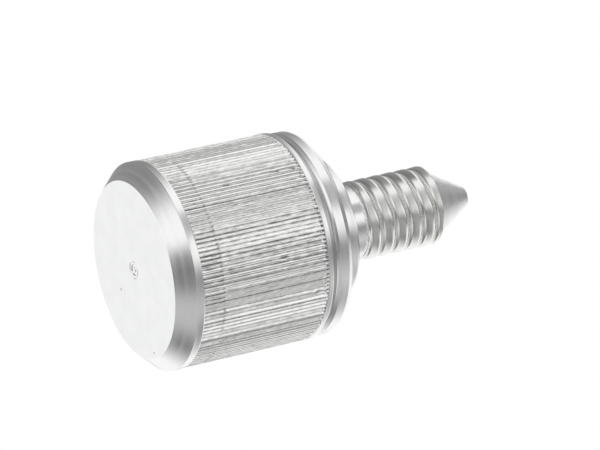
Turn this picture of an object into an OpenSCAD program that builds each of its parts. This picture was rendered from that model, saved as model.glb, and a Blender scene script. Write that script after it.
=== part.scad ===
// A knurled thumb screw, turned in one piece from bright aluminium bar.
// It stands on the flat face of its head, with the point up: the origin is the
// centre of that face and +Z runs along the axis to the tip. All sizes are in mm.

/* [Head] */
// Diameter of the head over its plain bands
head_d = 10.8; // [9.8:0.1:14]
// Diameter of the flat front face
face_d = 9.2; // [6:0.1:10]
// Length of the chamfer behind the front face
chamfer_l = 0.86; // [0.4:0.02:1.6]
// Width of the plain band between the chamfer and the knurl
front_band_l = 0.42; // [0.2:0.02:1]
// Width of the plain band behind the knurl
rear_band_l = 0.28; // [0.15:0.01:1]
// Diameter of the tool mark at the centre of the front face
centre_mark_d = 0.96; // [0.5:0.02:2]
// Depth of the tool mark
centre_mark_depth = 0.06; // [0.02:0.01:0.15]

/* [Knurl] */
// Number of tooth pairs around the head
tooth_pairs = 73; // [40:1:90]
// Length of the knurl along the axis
knurl_l = 7.02; // [3:0.02:12]
// Length of the stretch at the front where the knurl is cut deeper
deep_knurl_l = 1.13; // [0.4:0.01:2.5]
// How far the teeth lie under the plain bands
crest_drop = 0.02; // [0.01:0.005:0.06]
// How much lower the teeth lie in the deeper stretch
deep_crest_drop = 0.025; // [0.01:0.005:0.06]
// Depth of the groove between two tooth pairs, in the deeper stretch
deep_groove_depth = 0.22; // [0.1:0.01:0.3]
// Depth of the groove between two tooth pairs, behind that stretch
main_groove_depth = 0.15; // [0.05:0.01:0.25]
// Depth of the groove that splits each tooth pair
split_groove_depth = 0.13; // [0.05:0.01:0.25]
// Share of the tooth pitch taken by the groove between two pairs
groove_share = 0.42; // [0.3:0.01:0.6]

/* [Rear ring] */
// Width of the groove's floor between the rear band and the ring
groove_l = 0.3; // [0.15:0.01:0.8]
// Diameter at the groove's floor
groove_d = 10.26; // [8.6:0.02:10.4]
// Diameter of the ring
ring_d = 10.6; // [10.4:0.05:13]
// Width of the ring's cylinder
ring_l = 0.48; // [0.2:0.02:1.5]
// Length of the bevel behind the ring
ring_bevel_l = 0.26; // [0.1:0.01:0.6]
// Angle between the bevel and the axis
ring_bevel_angle = 30; // [15:1:45]

/* [Collar] */
// Diameter of the collar
collar_d = 7.4; // [5.5:0.1:8.4]
// Length of the collar
collar_l = 1.22; // [0.5:0.02:3]
// Size of the broken edge at the collar's seat
collar_edge = 0.06; // [0.02:0.01:0.2]

/* [Thread] */
// Diameter over the thread's crests
thread_d = 4.17; // [3.8:0.01:5]
// Distance between turns
pitch = 0.794; // [0.6:0.002:1.2]
// Length of the shank from the collar's seat to the foot of the point
shank_l = 5.85; // [4:0.05:16]
// Length of the plain neck between the collar's seat and the relief
neck_l = 0.4; // [0.2:0.02:1]
// Diameter at the floor of the relief before the thread
relief_d = 3.4; // [3:0.02:3.6]
// Width of the relief's floor
relief_l = 0.2; // [0.1:0.02:0.8]
// Depth of the thread from crest to root
thread_depth = 0.32; // [0.15:0.01:0.4]
// Rise of the rounded crests over their shoulders
crest_rise = 0.09; // [0.03:0.01:0.12]
// Width of the thread groove at the shoulders
thread_groove_w = 0.28; // [0.18:0.01:0.4]
// Width of the thread groove at the root
root_w = 0.05; // [0.03:0.01:0.1]
// Angle of the first turn about the axis
thread_start = 84; // [0:1:359]

/* [Point] */
// Diameter at the foot of the point
point_d = 3.72; // [2.8:0.02:3.76]
// Included angle of the point
point_angle = 60; // [40:1:100]
// Diameter of the blunt tip
tip_d = 1.02; // [0.3:0.02:1.6]
// Size of the broken edge of the tip
tip_edge = 0.14; // [0.04:0.01:0.15]

/* [Hidden] */
$fn = 96;

// Facets around one turn of the thread, and points across one crest
turn_facets = 40;
crest_points = 5;
// How far one body reaches into the next where they join
join = 0.12;
// How far the bar under the teeth and under the thread lies below their roots
core_gap = 0.1;
// The tool mark: a raised middle inside a ring, as shares of the mark's radius and depth
mark_middle = 0.5;
mark_ring_in = 0.7;
mark_ring_out = 0.85;
mark_middle_depth = 0.33;

head_r = head_d / 2;
thread_r = thread_d / 2;
// The relief's sides slope at 45 degrees, so they are as long as the relief is deep
relief_drop = (thread_d - relief_d) / 2;

// Stations along the axis, from the front face to the tip
knurl_z = chamfer_l + front_band_l;
deep_knurl_z = knurl_z + deep_knurl_l;
rear_band_z = knurl_z + knurl_l;
groove_z = rear_band_z + rear_band_l;
ring_foot_z = groove_z + groove_l;
ring_z = ring_foot_z + (ring_d - groove_d) / 2;
ring_bevel_z = ring_z + ring_l;
head_back_z = ring_bevel_z + ring_bevel_l;
seat_z = head_back_z + collar_l;
relief_z = seat_z + neck_l;
relief_floor_z = relief_z + relief_drop;
thread_z = relief_floor_z + relief_l;
point_z = seat_z + shank_l;
tip_z = point_z + (point_d - tip_d) / 2 / tan(point_angle / 2);

point_r = point_d / 2;
mark_r = centre_mark_d / 2;
crest_r = head_r - crest_drop;
deep_crest_r = crest_r - deep_crest_drop;
deepest_groove = max(deep_crest_drop + deep_groove_depth, main_groove_depth, split_groove_depth);
knurl_core_r = crest_r - deepest_groove - core_gap;
ring_bevel_drop = ring_bevel_l * tan(ring_bevel_angle);
shank_core_r = min(thread_r - thread_depth, relief_d / 2, point_r) - core_gap;

// Half section of the turned blank, from the centre of the front face round to the tip
blank_section = [
    [0, centre_mark_depth * mark_middle_depth],
    [mark_r * mark_middle, centre_mark_depth * mark_middle_depth],
    [mark_r * mark_ring_in, centre_mark_depth],
    [mark_r * mark_ring_out, centre_mark_depth],
    [mark_r, 0],
    [face_d / 2, 0],
    [head_r, chamfer_l],
    [head_r, knurl_z],
    [knurl_core_r, knurl_z],
    [knurl_core_r, rear_band_z],
    [head_r, rear_band_z],
    [head_r, groove_z],
    [groove_d / 2, groove_z],
    [groove_d / 2, ring_foot_z],
    [ring_d / 2, ring_z],
    [ring_d / 2, ring_bevel_z],
    [ring_d / 2 - ring_bevel_drop, head_back_z],
    [collar_d / 2, head_back_z],
    [collar_d / 2, seat_z - collar_edge],
    [collar_d / 2 - collar_edge, seat_z],
    [shank_core_r, seat_z],
    [shank_core_r, point_z],
    [point_r, point_z],
    [tip_d / 2 + tip_edge * tan(point_angle / 2), tip_z - tip_edge],
    [tip_d / 2 - tip_edge, tip_z],
    [0, tip_z]
];

// A point of a section across the axis
function polar(r, angle) = [r * cos(angle), r * sin(angle)];

// Section of the knurl: each pitch has two sharp teeth, a groove between pairs and a split
function knurl_section(crest, groove_depth, split_depth) =
    let (step = 360 / tooth_pairs, half = step * groove_share / 2)
    [for (i = [0 : tooth_pairs - 1], corner = [0 : 3])
        let (middle = i * step)
        corner == 0 ? polar(crest - groove_depth, middle)
        : corner == 1 ? polar(crest, middle + half)
        : corner == 2 ? polar(crest - split_depth, middle + step / 2)
        : polar(crest, middle + step - half)];

// One pitch of the thread from root to root, as [height above the root's middle, drop below the crests]
shoulder = thread_groove_w / 2;
thread_profile = concat(
    [[-root_w / 2, thread_depth], [root_w / 2, thread_depth]],
    [for (i = [0 : crest_points - 1])
        let (across = i / (crest_points - 1) * 2 - 1)
        [pitch / 2 + across * (pitch / 2 - shoulder), crest_rise * across * across]]
);
profile_points = len(thread_profile);

// The winding starts inside the collar, a whole turn below the neck, and ends inside the point
hidden_turns = ceil((thread_z - seat_z + join) / pitch) + 1;
turns = hidden_turns + ceil((point_z - thread_z) / pitch) + 1;
thread_rows = turns * profile_points;
first_turn_z = thread_z - hidden_turns * pitch;

// Half section of the room the neck and thread may fill: the relief is cut into it, and it is bevelled at
// 45 degrees at the foot of the point
thread_room = [
    [0, seat_z - join],
    [thread_r + core_gap, seat_z - join],
    [thread_r + core_gap, relief_z - core_gap],
    [relief_d / 2, relief_floor_z],
    [relief_d / 2, thread_z],
    [thread_r + core_gap, thread_z + relief_drop + core_gap],
    [thread_r + core_gap, point_z - (thread_r - point_r)],
    [point_r - join, point_z + join + core_gap],
    [0, point_z + join + core_gap]
];

// Radius of the winding at height z: plain at the neck, while the drop below the crests grows in the relief
function thread_radius(z, drop) = thread_r - drop * min(1, max(0, (z - relief_z) / relief_drop));

function thread_point(column, row) =
    let (
        place = thread_profile[row % profile_points],
        z = first_turn_z + pitch * (floor(row / profile_points) + column / turn_facets) + place[0],
        spot = polar(thread_radius(z, place[1]), thread_start + 360 * column / turn_facets)
    )
    [spot[0], spot[1], z];

// Number of a point of the thread's skin: past the last column the same row is one turn higher
function thread_index(column, row) =
    column < turn_facets ? column * thread_rows + row : row + profile_points;

module thread_skin() {
    skin_points = [for (column = [0 : turn_facets - 1], row = [0 : thread_rows - 1])
        thread_point(column, row)];
    foot = len(skin_points);
    top = foot + 1;
    last = thread_rows - 1;
    top_row = last - profile_points;
    skin = [for (column = [0 : turn_facets - 1])
        let (rows = column < turn_facets - 1 ? last : top_row)
        for (row = [0 : rows - 1])
            let (
                a = thread_index(column, row),
                b = thread_index(column + 1, row),
                c = thread_index(column + 1, row + 1),
                d = thread_index(column, row + 1)
            )
            each [[a, c, b], [a, d, c]]];
    foot_cap = [for (column = [0 : turn_facets - 1])
        [foot, thread_index(column, 0), thread_index(column + 1, 0)]];
    foot_step = [for (row = [0 : profile_points - 1])
        [foot, row + 1, row]];
    top_cap = [for (column = [0 : turn_facets - 2])
        [top, thread_index(column + 1, last), thread_index(column, last)]];
    top_step = concat(
        [[top, thread_index(0, last), thread_index(turn_facets - 1, top_row)]],
        [for (row = [top_row : last - 1])
            [top, thread_index(turn_facets - 1, row), thread_index(turn_facets - 1, row + 1)]]
    );
    polyhedron(
        concat(skin_points, [[0, 0, first_turn_z], [0, 0, first_turn_z + turns * pitch]]),
        concat(skin, foot_cap, foot_step, top_cap, top_step)
    );
}

module thread() {
    intersection() {
        thread_skin();
        rotate_extrude() polygon(thread_room);
    }
}

module blank() {
    rotate_extrude() polygon(blank_section);
}

module knurl() {
    translate([0, 0, knurl_z - join])
        linear_extrude(deep_knurl_l + 2 * join)
            polygon(knurl_section(deep_crest_r, deep_groove_depth, split_groove_depth));
    translate([0, 0, deep_knurl_z])
        linear_extrude(rear_band_z + join - deep_knurl_z)
            polygon(knurl_section(crest_r, main_groove_depth, split_groove_depth));
}

// The whole screw is one solid
module thumb_screw() {
    color("silver") {
        blank();
        knurl();
        thread();
    }
}

thumb_screw();
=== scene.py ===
import math

import bpy
import numpy as np
from mathutils import Matrix, Vector


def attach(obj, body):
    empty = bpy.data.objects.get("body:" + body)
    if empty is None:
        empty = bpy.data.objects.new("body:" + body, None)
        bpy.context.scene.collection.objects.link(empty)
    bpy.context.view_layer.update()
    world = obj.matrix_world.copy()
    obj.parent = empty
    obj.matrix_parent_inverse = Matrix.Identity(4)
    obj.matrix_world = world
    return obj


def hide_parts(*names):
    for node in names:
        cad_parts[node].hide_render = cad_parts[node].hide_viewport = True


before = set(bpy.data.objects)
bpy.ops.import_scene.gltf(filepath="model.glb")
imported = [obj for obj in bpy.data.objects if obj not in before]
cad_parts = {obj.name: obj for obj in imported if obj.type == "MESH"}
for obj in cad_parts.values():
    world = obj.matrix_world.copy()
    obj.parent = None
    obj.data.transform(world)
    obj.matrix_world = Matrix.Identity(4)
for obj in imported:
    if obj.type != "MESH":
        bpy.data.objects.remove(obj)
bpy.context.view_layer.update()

bl_info = {
    "name": "Knurled thumb screw",
    "version": (1, 0, 0),
    "blender": (4, 5, 0),
    "location": "View3D > Sidebar > Thumb screw",
    "description": "Models the bright turned thumb screw, its finishes and its white studio",
    "category": "Add Mesh",
}

MM = 0.001
CAD_NODE = "thumb_screw"
PIECE = "thumb_screw_body"
BLANK, GRIP, SHANK = FORMS = ("turned_blank", "knurled_grip", "threaded_shank")


# Sizes and colours

def length(name, description, value):
    """A length property, given in millimetres and kept in metres."""
    return bpy.props.FloatProperty(
        name=name, description=description, default=value * MM, min=0.0, precision=5,
        subtype="DISTANCE", unit="LENGTH",
    )


def share(name, description, value):
    """A plain factor property."""
    return bpy.props.FloatProperty(
        name=name, description=description, default=value, min=0.0, max=1.0, subtype="FACTOR",
    )


def tint(name, description, value):
    """A colour property."""
    return bpy.props.FloatVectorProperty(
        name=name, description=description, default=value, min=0.0, max=1.0, size=3, subtype="COLOR",
    )


class ScrewHeadSizes(bpy.types.PropertyGroup):
    """Sizes of the turned head, from the front face back to the collar"""

    face_radius: length("Face radius", "Radius of the flat front face", 4.6)
    head_radius: length("Head radius", "Radius of the plain bands", 5.4)
    chamfer_end: length("Chamfer end", "Distance of the chamfer's end from the face", 0.86)
    knurl_start: length("Knurl start", "Distance of the knurl's start from the face", 1.28)
    knurl_end: length("Knurl end", "Distance of the knurl's end from the face", 8.30)
    core_radius: length("Core radius", "Radius of the bar under the knurl", 4.9)
    rear_band_end: length("Rear band end", "Distance of the rear band's end from the face", 8.58)
    groove_radius: length("Groove radius", "Radius at the floor of the groove", 5.13)
    groove_end: length("Groove end", "Distance of the groove floor's end from the face", 8.88)
    ring_radius: length("Ring radius", "Radius of the rear ring", 5.3)
    ring_start: length("Ring start", "Distance of the ring's start from the face", 9.05)
    ring_end: length("Ring end", "Distance of the ring's end from the face", 9.53)
    back_radius: length("Back radius", "Radius where the ring's bevel meets the back of the head", 5.15)
    back: length("Back", "Distance of the back of the head from the face", 9.79)
    collar_radius: length("Collar radius", "Radius of the collar", 3.7)
    seat: length("Seat", "Distance of the collar's seat from the face", 11.01)
    mark_radius: length("Centre mark radius", "Radius of the tool mark on the face", 0.48)
    mark_depth: length("Centre mark depth", "Depth of the tool mark", 0.06)
    edge: length("Edge", "Rounding of the turned edges", 0.03)


class ScrewKnurlSizes(bpy.types.PropertyGroup):
    """Sizes of the knurled grip"""

    tooth_pairs: bpy.props.IntProperty(
        name="Tooth pairs", description="Number of tooth pairs around the head", default=73, min=8,
    )
    crest_radius: length("Crest radius", "Radius over the teeth", 5.38)
    crest_width: share("Crest width", "Width of a tooth's flat crest, as a share of the pitch", 0.14)
    crown: share("Crown", "Slope of a tooth's crest towards its edges", 0.06)
    lean: share("Lean", "Shift of a tooth's crest to one side, as a share of the pitch", 0.018)
    deep_end: length("Deep end", "Distance from the face at which the deeper front stretch ends", 2.41)
    deep_drop: length("Deep drop", "How much lower the teeth lie in the deeper stretch", 0.006)
    deep_groove: length("Deep groove", "Groove depth in the deeper stretch", 0.098)
    main_groove: length("Main groove", "Groove depth behind that stretch", 0.095)
    split_at: share("Split place", "Place of the split between two grooves, as a share of the pitch", 0.46)
    ragged: length("Ragged end", "Length over which the teeth end unevenly at the rear", 0.22)
    end_drop: length("End drop", "How far the skin falls past a tooth's end", 0.015)
    wander: share("Wander", "How far a tooth strays from its even place, as a share of the pitch", 0.008)
    depth_spread: share("Depth spread", "Spread of the groove depths, as a share of the depth", 0.05)
    unevenness: length("Unevenness", "Unevenness of the skin along a tooth", 0.0022)


class ScrewThreadSizes(bpy.types.PropertyGroup):
    """Sizes of the neck, the threaded shank and its point"""

    crest_radius: length("Crest radius", "Radius over the thread's crests", 2.085)
    pitch: length("Pitch", "Distance between turns", 0.794)
    depth: length("Depth", "Depth of the thread from crest to root", 0.25)
    crest_rise: length("Crest rise", "Rise of the crests from the head's side to the point's side", 0.055)
    groove_width: length("Groove width", "Width of the thread groove at the shoulders", 0.07)
    root_width: length("Root width", "Width of the thread groove at its root", 0.03)
    bulge: length("Bulge", "How far the rounded crests fall at their edges", 0.13)
    fullness: bpy.props.FloatProperty(
        name="Fullness", description="Power of the crests' rounding: 2 is a parabola, more is flatter",
        default=6.0, min=2.0, max=8.0,
    )
    start: length("Thread start", "Distance of the thread's start from the face", 11.96)
    start_angle: bpy.props.FloatProperty(
        name="Start angle", description="Angle of the first turn about the axis",
        default=math.radians(68.0), subtype="ANGLE", unit="ROTATION",
    )
    neck_radius: length("Neck radius", "Radius of the turned neck before the thread", 1.93)
    neck_start: length("Neck start", "Distance from the face at which the neck starts", 11.795)
    neck_end: length("Neck end", "Distance from the face at which the neck opens out to the thread", 12.49)
    torn_edge: length("Torn edge", "Width of the torn strip between the neck and the thread", 0.12)
    core_radius: length("Core radius", "Radius of the bar under the thread", 1.665)
    end_bevel: length("End bevel", "Size of the bevel where the thread ends at the point", 0.03)
    point_start: length("Point start", "Distance of the point's foot from the face", 16.86)
    point_radius: length("Point radius", "Radius at the foot of the point", 1.86)
    tip_radius: length("Tip radius", "Radius of the blunt tip", 0.51)
    tip_edge: length("Tip edge", "Rounding of the tip's edge", 0.14)


class ScrewFinish(bpy.types.PropertyGroup):
    """Colours of the metal, with the colours that paint shade into its grooves, pits and nicks"""

    face: tint("Faced metal", "Colour of the front face", (0.875, 0.88, 0.88))
    bright: tint("Bright metal", "Colour of the turned aluminium", (0.945, 0.945, 0.95))
    knurl: tint("Knurled metal", "Colour of the rolled teeth", (0.985, 0.985, 0.975))
    # painted shade: the colour that darkens the bottoms of the knurl's grooves
    groove: tint("Groove shade", "Colour at the bottom of the knurl's grooves", (0.46, 0.455, 0.44))
    thread: tint("Thread metal", "Colour of the thread", (0.90, 0.895, 0.875))
    point: tint("Point metal", "Colour of the point", (0.98, 0.98, 0.98))
    torn: tint("Torn metal", "Colour of the thread's grooves", (1.0, 1.0, 0.99))
    # partly painted shade: the darker colour of the torn metal's small pits, standing in for the shade in
    # them
    pit_shade: tint("Pit shade", "Colour of the small pits in the torn metal", (0.52, 0.515, 0.50))
    # painted shade: the darker colour of the groove behind the knurl and of the face's nicks
    shade: tint("Shaded metal", "Colour of the groove behind the knurl", (0.56, 0.56, 0.56))


class ScrewStudio(bpy.types.PropertyGroup):
    """The camera and the white studio"""

    lens: bpy.props.FloatProperty(
        name="Lens", description="Focal length of the camera in millimetres", default=300.0, min=1.0,
    )
    sensor: bpy.props.FloatProperty(
        name="Sensor", description="Width of the camera's sensor in millimetres", default=36.0, min=1.0,
    )
    camera_place: bpy.props.FloatVectorProperty(
        name="Camera place", description="Place of the camera in the part's frame",
        default=(0.0, -0.2312631, -0.1011678), size=3, subtype="TRANSLATION", unit="LENGTH",
    )
    nearest: length("Nearest", "Distance at which the camera's view starts", 10.0)
    furthest: length("Furthest", "Distance at which the camera's view ends", 10000.0)
    floor_radius: length("Floor radius", "Radius of the pale floor", 400.0)
    floor_drop: length("Floor drop", "Gap between the floor and the face that stands on it", 0.01)
    floor_colour: tint("Floor colour", "Colour of the pale floor", (0.93, 0.93, 0.93))
    floor_roughness: share("Floor roughness", "Roughness of the pale floor", 0.9)
    white: tint("Studio white", "Colour of the background and the light tent", (1.0, 1.0, 1.0))


# Camera directions in the part's frame, read from the photograph's ellipses
CAMERA_RIGHT = Vector((0.217862, -0.421380, 0.880326))
CAMERA_UP = Vector((-0.975978, -0.095493, 0.195825))
CAMERA_BACK = Vector((0.001548, -0.901842, -0.432062))
CAMERA_SIDE = -90.0  # angle about the axis, in degrees, of the side that faces the camera

# Section of the centre mark, as shares of its radius and depth
MARK_SECTION = (
    (0.0, 0.2), (0.22, 0.2), (0.34, 1.0), (0.52, 1.0), (0.62, 0.1), (0.82, 0.1), (0.90, 0.6), (1.0, 0.0),
)
POINT_SLOPE = math.sqrt(3.0)  # length of the point to its fall in radius, for a point of 60 degrees

# Nicks in the face: place across the axis and size; in the knurl: angle from the camera's side, distance
# from the face, size and depth. Millimetres and degrees.
FACE_NICKS = ((0.80, 2.10, 0.11), (4.30, -0.22, 0.10))
KNURL_NICKS = (
    (-36.4, 4.04, 0.10, 0.055), (-38.7, 6.92, 0.12, 0.055), (-37.6, 7.84, 0.09, 0.050),
    (11.4, 5.89, 0.14, 0.035), (35.0, 7.63, 0.09, 0.050),
)

# How finely the forms are drawn
TURNED_STEPS = 292
WINDING_STEPS = 96
CREST_POINTS = 17
ARC_STEPS = (0.0, 0.33, 0.67, 1.0)
ARC_SUPPORT = 2.0  # distance of an arc's support point from its corner, in arc lengths
MERGE_DISTANCE = 0.0005 * MM
CUT_THRESHOLD = 1e-8
TOLERANCE = 0.001 * MM
BURIED = 0.1 * MM  # how far one form runs on inside another

# Knurl: corners to a tooth (groove bottom, crest edge, crest middle, crest edge), rows of corners along the
# front, main and rear stretches, and the gaps that keep those rows off the stretches' ends
TOOTH_CORNERS = 4
PAIR_CORNERS = 2 * TOOTH_CORNERS
FRONT_ROWS, MAIN_ROWS, REAR_ROWS = 11, 50, 8
ENTRY_GAP, ROW_GAP, REAR_STRETCH = 0.05 * MM, 0.02 * MM, 0.30 * MM
KNURL_SEED = 7

# Thread: turns wound before the first one that is kept, cuts up the neck's two slopes, the step down to the
# core at the point, and the share of the crests' fall below which the metal is torn
LEAD_TURNS = 3
REAR_CUTS, FRONT_CUTS = 6, 3
END_STEP = 0.002 * MM
TORN_SHARE = 0.9


# Modelling helpers

def deselect_all():
    """Leaves edit mode and clears the selection, which would otherwise be edited too."""
    if bpy.context.mode != "OBJECT":
        bpy.ops.object.mode_set(mode="OBJECT")
    bpy.ops.object.select_all(action="DESELECT")


def draw_section(name, points):
    """Draws a half section in the XZ plane, point by point, and stays in edit mode with it selected."""
    deselect_all()
    bpy.ops.mesh.primitive_plane_add(size=MM, location=(0.0, 0.0, 0.0))
    section = bpy.context.object
    section.name = section.data.name = name
    bpy.ops.object.mode_set(mode="EDIT")
    bpy.ops.mesh.select_all(action="SELECT")
    bpy.ops.mesh.merge(type="CENTER")
    place = Vector((0.0, 0.0, 0.0))
    for number, (radius, height) in enumerate(points):
        step = Vector((radius, 0.0, height)) - place
        if number == 0:
            bpy.ops.transform.translate(value=step)
        else:
            bpy.ops.mesh.extrude_region_move(TRANSFORM_OT_translate={"value": step})
        place += step
    bpy.ops.mesh.select_all(action="SELECT")
    return section


def close_mesh():
    """Merges doubles and turns the faces outwards, then leaves edit mode."""
    bpy.ops.object.mode_set(mode="EDIT")
    bpy.ops.mesh.select_all(action="SELECT")
    bpy.ops.mesh.remove_doubles(threshold=MERGE_DISTANCE)
    bpy.ops.mesh.normals_make_consistent(inside=False)
    bpy.ops.object.mode_set(mode="OBJECT")


def turn_section(steps):
    """Spins the selected section about the axis into a closed turned form."""
    bpy.ops.mesh.spin(steps=steps, angle=math.tau, center=(0.0, 0.0, 0.0), axis=(0.0, 0.0, 1.0))
    close_mesh()


def rounded(corners):
    """A section whose corners (radius, height, rounding) are rounded, with a support point beside every arc.

    An arc and its support point take up at most half of each neighbouring length."""
    points = [corners[0][:2]]
    for before, corner, after in zip(corners, corners[1:], corners[2:]):
        here, rounding = Vector(corner[:2]), corner[2]
        into, out = here - Vector(before[:2]), Vector(after[:2]) - here
        room = min(into.length, out.length) / (2 * ARC_SUPPORT)
        reach = min(rounding * math.tan(into.angle(out) / 2), room)
        if reach == 0.0:
            points.append(corner[:2])
            continue
        into, out = into.normalized() * reach, out.normalized() * reach
        points.append(tuple(here - into * ARC_SUPPORT))
        for t in ARC_STEPS:
            arc = (here - into) * (1 - t) ** 2 + here * 2 * t * (1 - t) + (here + out) * t ** 2
            points.append(tuple(arc))
        points.append(tuple(here + out * ARC_SUPPORT))
    points.append(corners[-1][:2])
    return points


def get_points(piece):
    """The piece's vertices as an array."""
    points = np.empty(len(piece.data.vertices) * 3)
    piece.data.vertices.foreach_get("co", points)
    return points.reshape(-1, 3)


def set_points(piece, points):
    """Puts changed vertices back into the piece."""
    piece.data.vertices.foreach_set("co", points.astype(np.float32).ravel())
    piece.data.update()


def smooth(piece, degrees):
    """Shades the piece smooth, with edges sharper than the angle kept crisp."""
    deselect_all()
    bpy.context.view_layer.objects.active = piece
    piece.select_set(True)
    bpy.ops.object.shade_smooth_by_angle(angle=math.radians(degrees))


def assign(piece, *rules):
    """Gives the piece its materials; the last rule that holds counts.

    Each rule is a material's name and a test on the radius and height of a face's centre."""
    for name, _ in rules:
        piece.data.materials.append(bpy.data.materials[name])
    for face in piece.data.polygons:
        radius, height = math.hypot(face.center.x, face.center.y), face.center.z
        for number, (_, test) in enumerate(rules):
            if test(radius, height):
                face.material_index = number


# Node helpers

def rgb(colour):
    """A colour with full alpha."""
    return (*colour, 1.0)


def dimmed(colour, factor):
    """A darker tone of a colour, with full alpha."""
    return rgb(channel * factor for channel in colour)


def new_group(name, inputs, outputs):
    """A shader node group of plain values, each input with its default; returns it with its end nodes."""
    group = bpy.data.node_groups.new(name, "ShaderNodeTree")
    for label, value in inputs.items():
        socket = group.interface.new_socket(name=label, in_out="INPUT", socket_type="NodeSocketFloat")
        socket.default_value = value
    for label in outputs:
        group.interface.new_socket(name=label, in_out="OUTPUT", socket_type="NodeSocketFloat")
    return group, group.nodes.new("NodeGroupInput"), group.nodes.new("NodeGroupOutput")


class Wiring:
    """Short calls for building a node tree."""

    MIX_A, MIX_B, MIX_RESULT = 6, 7, 2  # the colour sockets of Blender's mix node

    def __init__(self, tree):
        self.tree = tree

    def link(self, source, target):
        self.tree.links.new(source, target)

    def put(self, socket, value):
        if isinstance(value, bpy.types.NodeSocket):
            self.link(value, socket)
        else:
            socket.default_value = value

    def node(self, kind, inputs=(), **settings):
        made = self.tree.nodes.new(kind)
        for key, value in settings.items():
            setattr(made, key, value)
        for key, value in dict(inputs).items():
            self.put(made.inputs[key], value)
        return made

    def math(self, operation, *values):
        return self.node("ShaderNodeMath", dict(enumerate(values)), operation=operation).outputs[0]

    def vector(self, operation, a, b):
        return self.node("ShaderNodeVectorMath", {0: a, 1: b}, operation=operation).outputs

    def stretched(self, vector, factors):
        return self.vector("MULTIPLY", vector, factors)["Vector"]

    def ramp(self, value, low, high, out_low=0.0, out_high=1.0):
        ends = {"Value": value, "From Min": low, "From Max": high, "To Min": out_low, "To Max": out_high}
        return self.node("ShaderNodeMapRange", ends, interpolation_type="SMOOTHSTEP").outputs[0]

    def mix(self, factor, a, b):
        inputs = {"Factor": factor, self.MIX_A: a, self.MIX_B: b}
        return self.node("ShaderNodeMix", inputs, data_type="RGBA").outputs[self.MIX_RESULT]

    def noise(self, vector, scale=1.0, detail=2.0, roughness=0.5):
        inputs = {"Vector": vector, "Scale": scale, "Detail": detail, "Roughness": roughness}
        return self.node("ShaderNodeTexNoise", inputs).outputs[0]

    def group(self, tree, **inputs):
        named = {key.replace("_", " ").capitalize(): value for key, value in inputs.items()}
        return self.node("ShaderNodeGroup", named, node_tree=tree).outputs

    def place(self):
        return self.node("ShaderNodeTexCoord").outputs["Object"]

    def split(self, vector):
        return self.node("ShaderNodeSeparateXYZ", {0: vector}).outputs

    def combine(self, x, y, z):
        return self.node("ShaderNodeCombineXYZ", {"X": x, "Y": y, "Z": z}).outputs[0]

    def axis_radius(self, x, y):
        squares = self.math("ADD", self.math("MULTIPLY", x, x), self.math("MULTIPLY", y, y))
        return self.math("SQRT", squares)


def turning_marks():
    """Fine marks that run round the axis: a height for bump and a slow tone along the surface."""
    group, start, end = new_group(
        "Turning marks", {"Marks per mm": 30.0, "Waviness": 0.2}, ("Height", "Tone"),
    )
    w = Wiring(group)
    place = w.place()
    x, y, z = w.split(place)
    wave = w.noise(w.stretched(place, (60.0, 60.0, 60.0)), detail=1.0)
    per_metre = w.math("MULTIPLY", start.outputs["Marks per mm"], 1.0 / MM)
    lathe = w.combine(
        w.math("MULTIPLY", w.axis_radius(x, y), per_metre),
        w.math("MULTIPLY", z, per_metre),
        w.math("MULTIPLY", wave, start.outputs["Waviness"]),
    )
    w.link(w.noise(lathe), end.inputs["Height"])
    w.link(w.noise(w.stretched(lathe, (0.15, 0.15, 1.0)), detail=1.0), end.inputs["Tone"])
    return group


def axial_streaks():
    """Fine drawn lines that run along the axis, as a rolled knurl has."""
    group, start, end = new_group(
        "Axial streaks", {"Lines per mm": 12.0, "Stretch": 0.06}, ("Height", "Tone"),
    )
    w = Wiring(group)
    per_metre = w.math("MULTIPLY", start.outputs["Lines per mm"], 1.0 / MM)
    along = w.math("MULTIPLY", per_metre, start.outputs["Stretch"])
    drawn = w.stretched(w.place(), w.combine(per_metre, per_metre, along))
    w.link(w.noise(drawn, detail=3.0, roughness=0.6), end.inputs["Height"])
    w.link(w.noise(w.stretched(drawn, (0.2, 0.2, 0.2))), end.inputs["Tone"])
    return group


def metal(name, colour, roughness, bump_depth, bump_strength):
    """A metallic material with a bump; returns its wiring, its shader's inputs and the bump's height."""
    material = bpy.data.materials.new(name)
    material.use_nodes = True
    w = Wiring(material.node_tree)
    shader = material.node_tree.nodes["Principled BSDF"].inputs
    shader["Base Color"].default_value = rgb(colour)
    shader["Metallic"].default_value = 1.0
    shader["Roughness"].default_value = roughness
    bump = w.node("ShaderNodeBump", {"Distance": bump_depth, "Strength": bump_strength})
    w.link(bump.outputs["Normal"], shader["Normal"])
    return w, shader, bump.inputs["Height"]


# Turned finishes: material, its colour in the finish, roughness, marks per millimetre and their strength
TURNED_FINISHES = (
    ("Turned aluminium", "bright", 0.18, 26.0, 0.07),
    ("Threaded aluminium", "thread", 0.20, 20.0, 0.04),
    ("Turned point", "point", 0.38, 14.0, 0.05),
    # painted shade: a darker copy of the turned aluminium for the groove behind the knurl
    ("Shaded groove", "shade", 0.24, 26.0, 0.05),
)
WAVINESS = 0.3
MARK_BUMP = 0.01 * MM
GLOSS_SPREAD = 0.06


def turned_metal(name, colour, marks, roughness, marks_per_mm, strength):
    """Bright turned aluminium: fine marks round the axis in the bump, the gloss and the tone."""
    w, shader, height = metal(name, colour, roughness, MARK_BUMP, strength)
    lines = w.group(marks, marks_per_mm=marks_per_mm, waviness=WAVINESS)
    w.link(lines["Height"], height)
    gloss = w.ramp(lines["Tone"], 0.3, 0.7, roughness - GLOSS_SPREAD, roughness + GLOSS_SPREAD)
    w.link(gloss, shader["Roughness"])
    tone = w.mix(w.ramp(lines["Tone"], 0.35, 0.65), dimmed(colour, 0.97), rgb(colour))
    w.link(tone, shader["Base Color"])


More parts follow.
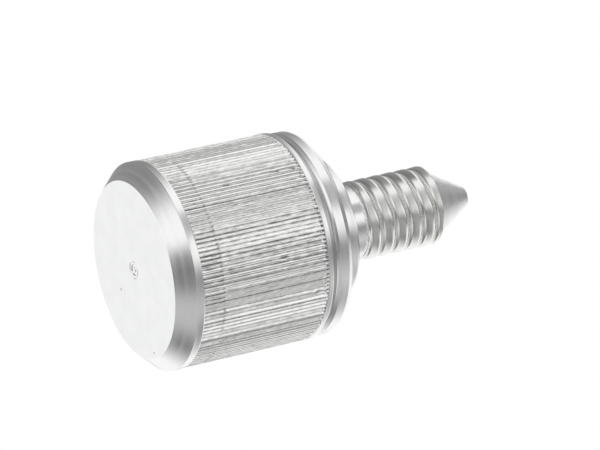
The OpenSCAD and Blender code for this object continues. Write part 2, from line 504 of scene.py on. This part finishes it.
def faced_metal(finish, marks):
    """The faced front: very faint rings, soft mottling and a few small nicks, dented in the bump and painted
    with the shaded colour as their shade.
    """
    w, shader, height = metal("Faced aluminium", finish.face, roughness=0.22,
                              bump_depth=0.02 * MM, bump_strength=1.0)
    lines = w.group(marks, marks_per_mm=18.0, waviness=WAVINESS)
    place = w.place()
    whole = 1.0
    for x, y, size in FACE_NICKS:
        away = w.vector("DISTANCE", place, (x * MM, y * MM, 0.0))["Value"]
        whole = w.math("MINIMUM", whole, w.ramp(away, 0.3 * size * MM, size * MM))
    ring_share = 0.005
    w.link(w.math("MULTIPLY_ADD", lines["Height"], ring_share, whole), height)
    cloud = w.ramp(w.noise(place, scale=0.8 / MM, detail=3.0, roughness=0.55), 0.35, 0.65)
    mottled = w.mix(cloud, dimmed(finish.face, 0.965), rgb(finish.face))
    # painted shade: the nicks take the darker shaded colour
    w.link(w.mix(whole, rgb(finish.shade), mottled), shader["Base Color"])


def knurled_metal(finish, streaks, knurl):
    """Rolled teeth: drawn streaks along the axis, worn specks and painted shade that darkens the groove
    bottoms.
    """
    glossy, dull = 0.12, 0.20
    w, shader, height = metal("Knurled aluminium", finish.knurl, dull, MARK_BUMP, bump_strength=0.2)
    lines = w.group(streaks, lines_per_mm=14.0, stretch=0.25)
    w.link(lines["Height"], height)
    w.link(w.ramp(lines["Tone"], 0.3, 0.7, glossy, dull), shader["Roughness"])
    place = w.place()
    x, y, _ = w.split(place)
    # painted shade: the colour darkens with depth towards the groove bottoms, where the grooves lie in shade
    depth = w.math("SUBTRACT", knurl.crest_radius, w.axis_radius(x, y))
    groove_shade = w.ramp(depth, knurl.main_groove * 0.50, knurl.main_groove * 1.12)
    specks = w.noise(w.stretched(place, (1.0, 1.0, 0.45)), scale=9.0 / MM, roughness=0.6)
    skin = w.mix(w.ramp(specks, 0.38, 0.56), dimmed(finish.knurl, 0.90), rgb(finish.knurl))
    w.link(w.mix(groove_shade, skin, rgb(finish.groove)), shader["Base Color"])


def torn_metal(finish):
    """The thread's grooves and the neck's edge, where the cut left the metal torn and glinting; its small
    pits are painted darker, as the shade in them.
    """
    w, shader, height = metal("Torn aluminium", finish.torn, roughness=0.20,
                              bump_depth=0.06 * MM, bump_strength=0.60)
    grain = w.noise(w.place(), scale=10.0 / MM, roughness=0.6)
    w.link(grain, height)
    # painted shade: darker specks where the grain is low stand for the small pits and the shade in them
    w.link(w.mix(w.ramp(grain, 0.27, 0.39), rgb(finish.pit_shade), rgb(finish.torn)), shader["Base Color"])


# Operators

class SCREW_OT_materials(bpy.types.Operator):
    """Makes the screw's finishes"""

    bl_idname = "screw.materials"
    bl_label = "Finishes"

    def execute(self, context):
        finish = context.scene.screw_finish
        marks, streaks = turning_marks(), axial_streaks()
        faced_metal(finish, marks)
        for name, colour, roughness, marks_per_mm, strength in TURNED_FINISHES:
            turned_metal(name, getattr(finish, colour), marks, roughness, marks_per_mm, strength)
        torn_metal(finish)
        knurled_metal(finish, streaks, context.scene.screw_knurl)
        return {"FINISHED"}


class SCREW_OT_blank(bpy.types.Operator):
    """Turns the blank: face, chamfer, bands, groove, ring, collar, core and point"""

    bl_idname = "screw.blank"
    bl_label = "Turned blank"

    def execute(self, context):
        head, thread = context.scene.screw_head, context.scene.screw_thread
        tip = thread.point_start + (thread.point_radius - thread.tip_radius) * POINT_SLOPE
        edge, fine, hidden = head.edge, head.edge / 3, 0.0
        corners = [(head.mark_radius * out, head.mark_depth * down, fine) for out, down in MARK_SECTION]
        corners += [
            (head.face_radius, 0.0, edge),
            (head.head_radius, head.chamfer_end, edge), (head.head_radius, head.knurl_start, edge),
            (head.core_radius, head.knurl_start, hidden), (head.core_radius, head.knurl_end, hidden),
            (head.head_radius, head.knurl_end, edge), (head.head_radius, head.rear_band_end, edge),
            (head.groove_radius, head.rear_band_end, edge), (head.groove_radius, head.groove_end, edge),
            (head.ring_radius, head.ring_start, edge), (head.ring_radius, head.ring_end, edge),
            (head.back_radius, head.back, edge), (head.collar_radius, head.back, edge),
            (head.collar_radius, head.seat, edge * 2), (thread.core_radius, head.seat, hidden),
            (thread.core_radius, thread.point_start, hidden),
            (thread.point_radius, thread.point_start, edge),
            (thread.tip_radius, tip, thread.tip_edge), (0.0, tip, hidden),
        ]
        blank = draw_section(BLANK, rounded(corners))
        turn_section(TURNED_STEPS)
        smooth(blank, degrees=30.0)
        assign(
            blank,
            ("Turned aluminium", lambda r, z: True),
            ("Faced aluminium", lambda r, z: z < head.mark_depth and r < head.face_radius - edge),
            ("Turned point", lambda r, z: z > thread.point_start - TOLERANCE),
            # painted shade on the floor of the groove behind the knurl
            ("Shaded groove", lambda r, z: abs(r - head.groove_radius) < 2 * edge
             and head.rear_band_end - TOLERANCE < z < head.groove_end + edge),
        )
        return {"FINISHED"}


class SCREW_OT_knurl(bpy.types.Operator):
    """Rolls the knurl: pairs of straight teeth, deeper at the front, ragged at the rear"""

    bl_idname = "screw.knurl"
    bl_label = "Knurled grip"

    def execute(self, context):
        head, knurl = context.scene.screw_head, context.scene.screw_knurl
        low, high, rear = head.knurl_start - BURIED, head.knurl_end + BURIED, head.knurl_end - REAR_STRETCH
        heights = [
            low, head.knurl_start,
            *np.linspace(head.knurl_start + ENTRY_GAP, knurl.deep_end - ROW_GAP, FRONT_ROWS),
            *np.linspace(knurl.deep_end + ROW_GAP, rear - ROW_GAP, MAIN_ROWS),
            *np.linspace(rear + ROW_GAP, head.knurl_end, REAR_ROWS), high,
        ]
        inside = head.core_radius - BURIED
        skin = [(knurl.crest_radius, float(height)) for height in heights]
        grip = draw_section(GRIP, [(inside, low), *skin, (inside, high), (inside, low)])
        turn_section(knurl.tooth_pairs * PAIR_CORNERS)
        self.roll_teeth(grip, head, knurl, np.array(heights))
        assign(grip, ("Knurled aluminium", lambda r, z: True))
        return {"FINISHED"}

    @staticmethod
    def roll_teeth(grip, head, knurl, heights):
        """Moves the sleeve's skin to the teeth's shape, each tooth a little uneven."""
        chance = np.random.default_rng(KNURL_SEED)
        points = get_points(grip)
        radius = np.hypot(points[:, 0], points[:, 1])
        skin = radius > head.core_radius
        teeth, columns = knurl.tooth_pairs * 2, knurl.tooth_pairs * PAIR_CORNERS
        turn = np.arctan2(points[:, 1], points[:, 0]) / math.tau
        column = np.round(turn * columns).astype(int) % columns
        row = np.abs(points[:, 2][:, None] - heights[None, :]).argmin(axis=1)
        tooth, pair, corner = column // TOOTH_CORNERS, column // PAIR_CORNERS, column % PAIR_CORNERS
        bottom, middle = corner % TOOTH_CORNERS == 0, corner % TOOTH_CORNERS == TOOTH_CORNERS // 2

        # the corners' places around the head
        split, half = knurl.split_at, knurl.crest_width / 2
        first, second = split / 2 + knurl.lean, (split + 1.0) / 2 + knurl.lean
        places = np.array([0.0, first - half, first, first + half,
                           split, second - half, second, second + half])
        shift = knurl.wander * chance.standard_normal(teeth)[tooth]
        angle = (pair + places[corner] + shift) / knurl.tooth_pairs * math.tau

        # how deep each corner lies under the crests
        deep = heights[row] < knurl.deep_end
        depth = np.where(deep, knurl.deep_groove, knurl.main_groove)
        depth = depth * (1.0 + knurl.depth_spread * chance.standard_normal(teeth))[tooth]
        pitch = knurl.crest_radius * math.tau / knurl.tooth_pairs
        cut = np.select([bottom, middle], [depth, 0.0], knurl.crown * half * pitch)
        cut = cut + np.where(deep, knurl.deep_drop, 0.0)
        uneven = chance.standard_normal((columns, len(heights)))
        uneven = (uneven + np.roll(uneven, 1, axis=1)) * knurl.unevenness
        cut = np.maximum(cut + uneven[column, row], 0.0)
        nearest = (column + TOOTH_CORNERS // 2) // TOOTH_CORNERS % teeth
        tooth_end = head.knurl_end - knurl.ragged * chance.random(teeth)[nearest]
        cut = cut + np.where(heights[row] > tooth_end, knurl.end_drop, 0.0)
        for side, height, size, sink in KNURL_NICKS:
            across = (angle - math.radians(side + CAMERA_SIDE) + math.pi) % math.tau - math.pi
            away = np.hypot(across * knurl.crest_radius, heights[row] - height * MM) / (size * MM)
            cut = cut + sink * MM * np.exp(-away ** 2)

        rolled = (radius - cut)[:, None] * np.column_stack((np.cos(angle), np.sin(angle)))
        points[:, :2] = np.where(skin[:, None], rolled, points[:, :2])
        set_points(grip, points)
        smooth(grip, degrees=180.0)

        # crisp lines along the groove bottoms and crest edges
        ends = np.empty(len(grip.data.edges) * 2, dtype=int)
        grip.data.edges.foreach_get("vertices", ends)
        a, b = ends.reshape(-1, 2).T
        lengthwise = (column[a] == column[b]) & (row[a] != row[b]) & ~middle[a]
        grip.data.edges.foreach_set("use_edge_sharp", lengthwise & skin[a] & skin[b])


class SCREW_OT_thread(bpy.types.Operator):
    """Winds the right-hand thread with its rounded crests and turns the neck before it"""

    bl_idname = "screw.thread"
    bl_label = "Thread"

    def execute(self, context):
        head, thread = context.scene.screw_head, context.scene.screw_thread
        half, root = (thread.pitch - thread.groove_width) / 2, thread.crest_radius - thread.depth
        section = [(root, -thread.root_width / 2), (root, thread.root_width / 2)]
        for t in np.linspace(-1.0, 1.0, CREST_POINTS):
            fall = thread.crest_rise * (1.0 - t) / 2 + thread.bulge * abs(t) ** thread.fullness
            section.append((thread.crest_radius - fall, thread.pitch / 2 + t * half))
        section.append((root, thread.pitch - thread.root_width / 2))
        first = thread.start - thread.pitch * (LEAD_TURNS + thread.start_angle / math.tau)
        shank = draw_section(SHANK, [(float(r), float(z) + first) for r, z in section])
        bpy.ops.object.mode_set(mode="OBJECT")
        winding = shank.modifiers.new("Winding", "SCREW")
        winding.axis = "Z"
        winding.angle = math.tau
        winding.screw_offset = thread.pitch
        winding.iterations = math.ceil((thread.point_start - head.seat) / thread.pitch) + LEAD_TURNS + 1
        winding.steps = winding.render_steps = WINDING_STEPS
        bpy.ops.object.modifier_apply(modifier=winding.name)
        self.trim(shank, head, thread)
        close_mesh()
        smooth(shank, degrees=50.0)
        crest_edge = thread.crest_radius - thread.crest_rise - thread.bulge * TORN_SHARE
        thread_end = thread.point_start - thread.end_bevel
        assign(
            shank,
            ("Threaded aluminium", lambda r, z: True),
            ("Torn aluminium", lambda r, z: (r < crest_edge or z < thread.neck_end) and z < thread_end),
            ("Turned aluminium", lambda r, z: z < thread.neck_end - thread.torn_edge),
        )
        return {"FINISHED"}

    @staticmethod
    def trim(shank, head, thread):
        """Cuts the winding off inside the collar and the point, and turns the neck and the end bevel."""
        def cut(height, **ends):
            bpy.ops.mesh.select_all(action="SELECT")
            bpy.ops.mesh.bisect(plane_co=(0.0, 0.0, height), plane_no=(0.0, 0.0, 1.0),
                                threshold=CUT_THRESHOLD, **ends)

        bpy.ops.object.mode_set(mode="EDIT")
        cut(head.seat - BURIED, use_fill=True, clear_inner=True)
        cut(thread.point_start + BURIED, use_fill=True, clear_outer=True)
        rise = thread.crest_radius - thread.neck_radius
        thread_end = thread.point_start - thread.end_bevel
        for height in (
            *np.linspace(thread.neck_end, thread.neck_end + rise, REAR_CUTS),
            *np.linspace(thread.neck_start, thread.neck_start - rise, FRONT_CUTS),
            thread.neck_end - thread.torn_edge,
            thread_end, thread.point_start, thread.point_start + END_STEP,
        ):
            cut(float(height))
        bpy.ops.object.mode_set(mode="OBJECT")
        points = get_points(shank)
        radius, height = np.hypot(points[:, 0], points[:, 1]), points[:, 2]
        past = np.maximum(height - thread.neck_end, thread.neck_start - height)
        neck = thread.neck_radius + np.maximum(past, 0.0)
        turned = height < thread.neck_end + END_STEP
        new = np.where(turned, np.minimum(neck, thread.crest_radius), np.minimum(radius, neck))
        bevel = np.where(height > thread.point_start + END_STEP / 2,
                         thread.core_radius, thread.crest_radius + thread_end - height)
        points[:, :2] *= (np.minimum(new, bevel) / radius)[:, None]
        set_points(shank, points)


class SCREW_OT_join(bpy.types.Operator):
    """Joins the turned forms into the one piece that they are, and sets it in the frame"""

    bl_idname = "screw.join"
    bl_label = "One piece"

    def execute(self, context):
        deselect_all()
        forms = [bpy.data.objects[name] for name in FORMS]
        for form in forms:
            form.select_set(True)
        context.view_layer.objects.active = forms[0]
        bpy.ops.object.join()
        body = context.object
        body.name = body.data.name = PIECE
        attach(body, "root")
        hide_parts(CAD_NODE)
        return {"FINISHED"}


# Panels of the light tent as reflected by the metal: azimuth from the camera's side, elevation along the
# axis, half width, half height, lean, softness and level. Angles in degrees; a later panel covers an earlier.
TENT_PANELS = (
    ("Dark flag left", -110.0, -7.0, 52.0, 38.0, -1.12, 0.43, 0.24),
    ("Grey strip high", -26.0, 70.0, 26.5, 49.0, 0.23, 0.15, 0.45),
    ("Dark wall right", 70.0, -26.0, 59.0, 54.0, 0.31, 0.23, 0.24),
    ("Dark strip front", 35.0, 34.0, 18.4, 120.0, 0.36, 0.95, 0.15),
    ("Pale card right", 80.0, -50.0, 28.4, 80.0, -0.46, 0.69, 0.52),
    ("Dark card low", -107.0, 16.5, 26.0, 7.0, 0.0, 0.40, 0.16),
    ("Grey strip low", -18.0, 9.0, 27.0, 11.0, -0.5, 0.55, 0.43),
    ("Dark card right", 58.0, 13.5, 22.0, 6.0, 0.0, 0.40, 0.24),
    ("White card low", 131.9, 15.2, 38.0, 6.7, 0.0, 0.40, 1.00),
    ("White card front", 45.0, -17.0, 27.0, 8.0, 0.0, 0.40, 1.00),
)
# Round dark patches at the tent's end, past the point: azimuth, elevation, inner and outer radius and level
TENT_ENDS = (
    (-176.8, 67.3, 21.0, 23.7, 0.03),
    (-19.4, 74.7, 7.5, 36.8, 0.27),
    (-101.3, 51.7, 9.3, 14.1, 0.09),
    (-65.6, 53.3, 6.7, 12.8, 0.42),
)
PANEL_INPUTS = (
    "Azimuth", "Elevation", "At azimuth", "At elevation", "Half width", "Half height", "Lean", "Softness",
)
FLOOR_SIDES = 128


class SCREW_OT_studio(bpy.types.Operator):
    """Sets the white light tent, the pale floor and the camera"""

    bl_idname = "screw.studio"
    bl_label = "Studio"

    def execute(self, context):
        studio = context.scene.screw_studio
        self.light_tent(context.scene, studio)
        self.floor(studio)
        self.camera(context.scene, studio)
        context.scene.view_settings.view_transform = "Standard"
        return {"FINISHED"}

    @staticmethod
    def panel_group():
        """A soft-edged panel of the tent, as a mask over azimuth and elevation."""
        group, start, end = new_group("Tent panel", dict.fromkeys(PANEL_INPUTS, 0.0), ("Mask",))
        w = Wiring(group)
        take = start.outputs
        up = w.math("SUBTRACT", take["Elevation"], take["At elevation"])
        side = w.math("SUBTRACT", w.math("SUBTRACT", take["Azimuth"], take["At azimuth"]),
                      w.math("MULTIPLY", up, take["Lean"]))
        side = w.math("WRAP", side, 180.0, -180.0)
        x = w.math("DIVIDE", side, take["Half width"])
        y = w.math("DIVIDE", up, take["Half height"])
        reach = w.axis_radius(x, w.math("MULTIPLY", y, y))
        low = w.math("SUBTRACT", 1.0, take["Softness"])
        high = w.math("ADD", 1.0, take["Softness"])
        w.link(w.ramp(reach, low, high, 1.0, 0.0), end.inputs["Mask"])
        return group

    def light_tent(self, scene, studio):
        """A white tent with a few grey panels, which only the metal sees; the camera sees white."""
        world = bpy.data.worlds.new("Light tent")
        scene.world = world
        world.use_nodes = True
        w = Wiring(world.node_tree)
        direction = w.node("ShaderNodeTexCoord").outputs["Generated"]
        x, y, z = w.split(direction)
        azimuth = w.math("DEGREES", w.math("ARCTAN2", x, w.math("MULTIPLY", y, -1.0)))
        elevation = w.math("DEGREES", w.math("ARCSINE", z))
        panel = self.panel_group()
        level = rgb(studio.white)
        for _, at, height, wide, tall, lean, soft, grey in TENT_PANELS:
            mask = w.group(panel, azimuth=azimuth, elevation=elevation, at_azimuth=at, at_elevation=height,
                           half_width=wide, half_height=tall, lean=lean, softness=soft)["Mask"]
            level = w.mix(mask, level, rgb((grey, grey, grey)))
        for at, height, inner, outer, grey in TENT_ENDS:
            turn, lift = math.radians(at), math.radians(height)
            end = (math.sin(turn) * math.cos(lift), -math.cos(turn) * math.cos(lift), math.sin(lift))
            away = w.math("ARCCOSINE", w.vector("DOT_PRODUCT", direction, end)["Value"])
            mask = w.ramp(w.math("DEGREES", away), inner, outer, 1.0, 0.0)
            level = w.mix(mask, level, rgb((grey, grey, grey)))
        seen = w.node("ShaderNodeLightPath").outputs["Is Camera Ray"]
        background = world.node_tree.nodes["Background"]
        w.link(w.mix(seen, level, rgb(studio.white)), background.inputs["Color"])
        background.inputs["Strength"].default_value = 1.0

    @staticmethod
    def floor(studio):
        """A pale round floor under the head, seen only from above."""
        deselect_all()
        bpy.ops.mesh.primitive_circle_add(vertices=FLOOR_SIDES, radius=studio.floor_radius, fill_type="NGON",
                                          location=(0.0, 0.0, -studio.floor_drop))
        floor = bpy.context.object
        floor.name = floor.data.name = "pale_floor"
        bpy.ops.object.transform_apply(location=True)
        material = bpy.data.materials.new("Pale floor")
        material.use_nodes = True
        w = Wiring(material.node_tree)
        nodes = material.node_tree.nodes
        shader, out = nodes["Principled BSDF"], nodes["Material Output"]
        shader.inputs["Base Color"].default_value = rgb(studio.floor_colour)
        shader.inputs["Roughness"].default_value = studio.floor_roughness
        clear = w.node("ShaderNodeBsdfTransparent")
        above = w.math("SUBTRACT", 1.0, w.node("ShaderNodeNewGeometry").outputs["Backfacing"])
        seen = w.math("MULTIPLY", above, w.node("ShaderNodeLightPath").outputs["Is Camera Ray"])
        pick = w.node("ShaderNodeMixShader", {0: seen, 1: clear.outputs[0], 2: shader.outputs[0]})
        w.link(pick.outputs[0], out.inputs["Surface"])
        floor.data.materials.append(material)

    @staticmethod
    def camera(scene, studio):
        """The photograph's view: the head towards the camera, the point up to the right."""
        data = bpy.data.cameras.new("Photograph view")
        data.lens, data.sensor_width = studio.lens, studio.sensor
        data.clip_start, data.clip_end = studio.nearest, studio.furthest
        camera = bpy.data.objects.new("Photograph view", data)
        scene.collection.objects.link(camera)
        turn = Matrix((CAMERA_RIGHT, CAMERA_UP, CAMERA_BACK)).transposed()
        camera.matrix_world = Matrix.Translation(Vector(studio.camera_place)) @ turn.to_4x4()
        scene.camera = camera


class SCREW_PT_panel(bpy.types.Panel):
    """Lists the thumb screw's steps and sizes"""

    bl_idname = "SCREW_PT_panel"
    bl_label = "Thumb screw"
    bl_space_type = "VIEW_3D"
    bl_region_type = "UI"
    bl_category = "Thumb screw"

    def draw(self, context):
        for operator in OPERATORS:
            self.layout.operator(operator.bl_idname)
        for name in GROUPS:
            settings = getattr(context.scene, name)
            box = self.layout.box()
            for key in settings.bl_rna.properties.keys():
                if key not in {"rna_type", "name"}:
                    box.prop(settings, key)


GROUPS = {
    "screw_head": ScrewHeadSizes,
    "screw_knurl": ScrewKnurlSizes,
    "screw_thread": ScrewThreadSizes,
    "screw_finish": ScrewFinish,
    "screw_studio": ScrewStudio,
}
OPERATORS = (
    SCREW_OT_materials, SCREW_OT_blank, SCREW_OT_knurl, SCREW_OT_thread, SCREW_OT_join, SCREW_OT_studio,
)
CLASSES = (*GROUPS.values(), *OPERATORS, SCREW_PT_panel)


def register():
    for cls in CLASSES:
        bpy.utils.register_class(cls)
    for name, cls in GROUPS.items():
        setattr(bpy.types.Scene, name, bpy.props.PointerProperty(type=cls))


def unregister():
    for name in GROUPS:
        delattr(bpy.types.Scene, name)
    for cls in reversed(CLASSES):
        bpy.utils.unregister_class(cls)


def main():
    register()
    bpy.ops.screw.materials()
    bpy.ops.screw.blank()
    bpy.ops.screw.knurl()
    bpy.ops.screw.thread()
    bpy.ops.screw.join()
    bpy.ops.screw.studio()


if __name__ == "__main__":
    main()
